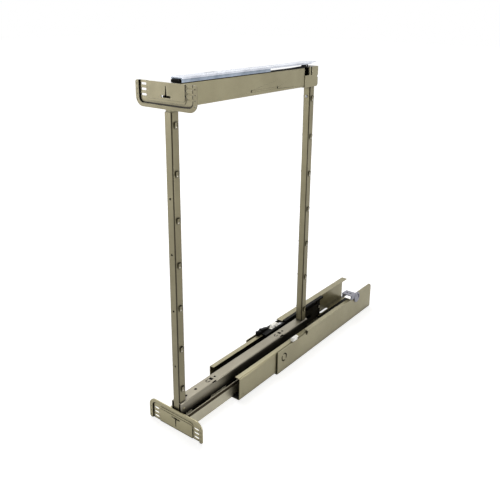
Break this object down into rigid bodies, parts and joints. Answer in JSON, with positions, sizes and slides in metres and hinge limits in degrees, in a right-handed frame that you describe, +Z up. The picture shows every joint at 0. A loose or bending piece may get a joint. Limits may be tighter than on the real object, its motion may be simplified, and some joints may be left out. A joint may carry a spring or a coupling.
{
  "type": "pull-out pantry frame",
  "caption": "Tall pull-out pantry frame: hooked posts and a top guide rail on a full-extension bottom runner, with slotted door brackets.",
  "frame": {"origin": "on the cabinet floor plane, midway between the front pair of fixing holes in the cabinet rail", "axes": "+Z up, +Y towards the back of the cabinet, +X to the right seen from the front; the frame is drawn pulled out towards -Y"},
  "size_m": [0.16, 0.809, 0.766],
  "materials": {
    "champagne_steel": "champagne metallic powder coat, satin",
    "bright_zinc": "bright zinc plate, fine lengthwise rolling lines",
    "blue_zinc": "blue passivated zinc plate, smooth",
    "zinc_steel": "plain zinc plate",
    "ball_steel": "polished bearing steel, oiled",
    "black_steel": "black coated, semi-matt",
    "black_plastic": "black moulded acetal, satin",
    "white_nylon": "white moulded nylon, slightly warm",
    "grey_plastic": "cool grey moulded plastic"
  },
  "bodies": {
    "cabinet": {"cabinet_rail": "champagne_steel", "rail_wear_strips": "black_plastic", "front_glide_right": "white_nylon", "front_glide_left": "white_nylon", "rear_saddle_clip": "grey_plastic", "soft_close_housing": "black_plastic", "soft_close_plate": "zinc_steel", "damper_cylinder": "zinc_steel"},
    "catch": {"soft_close_catch": "black_plastic", "damper_rod": "zinc_steel"},
    "middle": {"middle_runner": "champagne_steel", "race_right": "black_steel", "race_left": "black_steel", "front_pad": "black_plastic", "rear_glides": "black_plastic", "rear_glide_pins": "zinc_steel"},
    "ball_cages": {"ball_cage_right": "zinc_steel", "ball_cage_left": "zinc_steel", "balls": "ball_steel"},
    "frame": {"inner_runner": "champagne_steel", "groove_strips": "black_plastic", "base_beam": "champagne_steel", "beam_spacers": "black_plastic", "front_post": "champagne_steel", "rear_post": "champagne_steel", "front_neck": "champagne_steel", "rear_neck": "champagne_steel", "post_screws": "zinc_steel", "top_beam": "champagne_steel", "beam_end_bracket": "champagne_steel", "bracket_top": "champagne_steel", "bracket_bottom": "champagne_steel", "bracket_rivets": "champagne_steel", "guide_track": "black_plastic", "track_pad": "white_nylon", "roller_arm": "black_plastic", "roller_axle": "zinc_steel"},
    "roller": {"guide_roller": "black_plastic"},
    "slider": {"top_slider": "blue_zinc", "slider_shoe": "white_nylon", "slider_cap": "black_plastic"},
    "rail_top": {"top_rail": "bright_zinc"}
  },
  "joints": [
    {"name": "middle_slide", "type": "slide", "parent": "cabinet", "child": "middle", "axis": [0, -1, 0], "range_m": [-0.1545, 0.08]},
    {"name": "frame_slide", "type": "slide", "parent": "middle", "child": "frame", "axis": [0, -1, 0], "range_m": [-0.1545, 0.08]},
    {"name": "cage_slide", "type": "slide", "parent": "middle", "child": "ball_cages", "axis": [0, -1, 0], "range_m": [-0.07725, 0.04]},
    {"name": "catch_slide", "type": "slide", "parent": "cabinet", "child": "catch", "axis": [0, 1, 0], "range_m": [0, 0.04]},
    {"name": "top_rail_slide", "type": "slide", "parent": "frame", "child": "rail_top", "axis": [0, 1, 0], "range_m": [0, 0.47]},
    {"name": "slider_slide", "type": "slide", "parent": "frame", "child": "slider", "axis": [0, 1, 0], "range_m": [0, 0.235]},
    {"name": "roller_spin", "type": "hinge", "parent": "frame", "child": "roller", "pos_m": [0, 0.11, 0.7584], "axis": [1, 0, 0], "continuous": true}
  ],
  "couplings": [
    {"joint": "middle_slide", "follows": "frame_slide", "ratio": 1},
    {"joint": "cage_slide", "follows": "frame_slide", "ratio": 0.5},
    {"joint": "slider_slide", "follows": "top_rail_slide", "ratio": 0.5}
  ]
}
